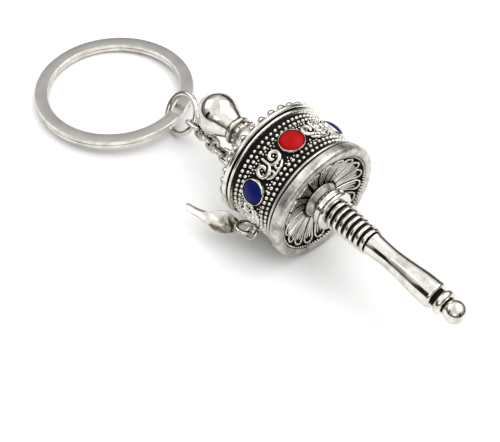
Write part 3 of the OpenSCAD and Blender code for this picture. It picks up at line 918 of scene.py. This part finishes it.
def counterweight():
    """Lug, hoop, and a thin curved leaf whose stem is a ring eye."""
    seat = on_drum(MID_X, seat_turn(LUG_SEAT))
    b = Builder()
    dome(b, seat, 1.25 * MM, 0.16 * MM, 0, rings=4, steps=40)
    loop = []
    for i in range(41):
        a = math.radians(-140 + 280 * i / 40)
        loop.append(seat @ Vector((0, 0.85 * MM * math.sin(a), (0.75 + 0.85 * math.cos(a)) * MM)))
    tube(b, loop, 0.3 * MM, 0, 14, up=seat.to_3x3() @ Vector((1, 0, 0)))
    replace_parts(b.piece("lug_loop", "drum", [SILVER], 180), "weight_lug")

    lo, hi = corners("weight_hoop")
    b = Builder()
    wire_ring(b, (lo + hi) / 2, Vector(JOINTS["weight_hoop_swing"]["axis"]), 1.25 * MM, 0.5 * MM, 0, 72, 16)
    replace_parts(b.piece("hoop", "weight_hoop", [POLISHED], 180), "weight_hoop")

    pivot = Vector(JOINTS["counterweight_swing"]["pos_m"])
    eye = pivot + EYE_OFFSET
    turned = Euler([math.radians(a) for a in EYE_TURN], "XYZ")
    place = Matrix.Translation(eye) @ turned.to_matrix().to_4x4()
    b = Builder()
    steps = 64
    section = [(0.42 * math.cos(TAU * k / 16), 0.44 * math.sin(TAU * k / 16)) for k in range(16)]
    rings_list = []
    for i in range(steps + 1):
        a = TAU * i / steps
        around = [(1.52 + u, v) for u, v in section]
        rings_list.append([place @ Vector((r * MM * math.cos(a), r * MM * math.sin(a), v * MM))
                           for r, v in around])
    b.loft(rings_list, 0, closed=True, caps=False)
    lean = Matrix.Rotation(math.radians(-LEAF_LEAN), 4, "X")
    leaf = []
    rows, cols = 44, 12
    for i in range(rows + 1):
        t = i / rows
        x = LEAF_START + (LEAF_END - LEAF_START) * t
        width = leaf_width(t)
        thick = 0.42 + 0.3 * t * (1 - t ** 6)
        bend_y = 0.35 * (width - 0.78) - 0.9 * t ** 2
        bend_z = -0.25 * math.sin(math.pi * t ** 0.8) + 0.9 * t ** 1.8
        across = [math.cos(math.pi * k / cols) for k in range(cols + 1)]
        top = [(width * y, leaf_cup(t) * y * y + thick * 0.5 * (1 - 0.5 * y * y)) for y in across]
        bottom = [(width * y * 0.96, leaf_cup(t) * y * y - thick * (1.35 - y * y)) for y in reversed(across)]
        leaf.append([place @ lean @ Vector((x * MM, (y + bend_y) * MM, (z + bend_z - 0.1) * MM))
                     for y, z in top + bottom])
    b.loft(leaf, 0, closed=True, caps=True)
    obj = b.piece("leaf_weight", "counterweight", [SMOOTH], 180)
    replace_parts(obj, "counterweight")


# ---------------------------------------------------------------- hidden CAD pieces

def paint(node, material):
    obj = frame["nodes"][node]
    obj.data.materials.clear()
    obj.data.materials.append(material)
    for polygon in obj.data.polygons:
        polygon.material_index = 0


for node in ("axle", "lower_washer", "upper_washer"):
    paint(node, STEEL)
for node in ("lower_bush", "upper_bush"):
    paint(node, BRASS)
paint("prayer_roll", paper("roll_paper"))

drum_wall()
bead_rows()
scrolls_and_grains()
stones()
lotus_end()
petals()
crown_end()
crown_beads()
handle()
finial()
chain()
rings()
split_ring()
counterweight()


# ---------------------------------------------------------------- floor, light and camera

def studio():
    bpy.ops.mesh.primitive_plane_add(size=4.0, location=(0, 0, -0.00002))
    floor = bpy.context.object
    floor.name = "studio_floor"
    material, _, _, shader = new_material("white_floor")
    shader.inputs["Base Color"].default_value = (0.93, 0.93, 0.93, 1)
    shader.inputs["Roughness"].default_value = 0.6
    shader.inputs["Specular IOR Level"].default_value = 0.2
    floor.data.materials.append(material)

    world = bpy.data.worlds.new("studio_world")
    bpy.context.scene.world = world
    world.use_nodes = True
    tree = world.node_tree
    coord = tree.nodes.new("ShaderNodeTexCoord")
    split = tree.nodes.new("ShaderNodeSeparateXYZ")
    tree.links.new(coord.outputs["Generated"], split.inputs["Vector"])
    shade = tree.nodes.new("ShaderNodeValToRGB")
    shade.color_ramp.elements[0].position = 0.02
    shade.color_ramp.elements[0].color = grey(0.06)
    shade.color_ramp.elements[1].position = 0.7
    shade.color_ramp.elements[1].color = grey(1.0)
    shade.color_ramp.elements.new(0.3).color = grey(0.3)
    tree.links.new(split.outputs["Z"], shade.inputs["Fac"])
    tree.links.new(shade.outputs["Color"], tree.nodes["Background"].inputs["Color"])
    tree.nodes["Background"].inputs["Strength"].default_value = 1.0


def area_light(name, place, target, size, power):
    data = bpy.data.lights.new(name, "AREA")
    data.shape = "RECTANGLE"
    data.size = size[0]
    data.size_y = size[1]
    data.energy = power
    obj = bpy.data.objects.new(name, data)
    bpy.context.scene.collection.objects.link(obj)
    obj.location = place
    obj.rotation_euler = (Vector(target) - Vector(place)).to_track_quat("-Z", "Y").to_euler()


def dark_card(name, place, target, size):
    """A black card that only reflections see: it draws the dark shapes in the bright metal."""
    bpy.ops.mesh.primitive_plane_add(size=1.0, location=place)
    card = bpy.context.object
    card.name = name
    card.scale = (size[0], size[1], 1)
    card.rotation_euler = (Vector(target) - Vector(place)).to_track_quat("Z", "Y").to_euler()
    material, _, _, shader = new_material(name + "_black")
    shader.inputs["Base Color"].default_value = grey(0.01)
    shader.inputs["Roughness"].default_value = 0.9
    card.data.materials.append(material)
    card.visible_camera = False
    card.visible_diffuse = False
    card.visible_shadow = False


studio()
CENTRE = (cad_box[0] + cad_box[1]) / 2
area_light("key", CENTRE + Vector((0.12, 0.20, 0.40)), CENTRE, (0.50, 0.36), 0.85)
area_light("fill", CENTRE + Vector((-0.34, -0.12, 0.30)), CENTRE, (0.34, 0.26), 0.30)
area_light("front", CENTRE + Vector((0.26, -0.32, 0.20)), CENTRE, (0.24, 0.16), 0.14)
dark_card("card_left", CENTRE + Vector((-0.10, -0.34, 0.12)), CENTRE, (0.10, 0.22))
dark_card("card_right", CENTRE + Vector((0.36, -0.02, 0.10)), CENTRE, (0.10, 0.20))
dark_card("card_back", CENTRE + Vector((-0.12, 0.32, 0.12)), CENTRE, (0.26, 0.06))

# The camera looks down at 50 degrees, 46 degrees round from the side of the axle
camera_data = bpy.data.cameras.new("camera")
camera_data.sensor_width = 36.0
camera_data.lens = 92.6
camera = bpy.data.objects.new("camera", camera_data)
bpy.context.scene.collection.objects.link(camera)
TURN = math.radians(46.1)
RISE = math.radians(50.0)
ROLL = math.radians(2.8)
DISTANCE = 226.5 * MM
AIM = Vector((5.7, -1.45, 0.25)) * MM
away = Vector((math.sin(TURN) * math.cos(RISE), -math.cos(TURN) * math.cos(RISE), math.sin(RISE)))
camera.location = AIM + away * DISTANCE
level = (-away).to_track_quat("-Z", "Y").to_matrix()
camera.rotation_euler = (level @ Matrix.Rotation(ROLL, 3, "Z")).to_euler()
bpy.context.scene.camera = camera
bpy.context.scene.view_settings.view_transform = "Standard"
bpy.context.scene.view_settings.look = "Medium High Contrast"
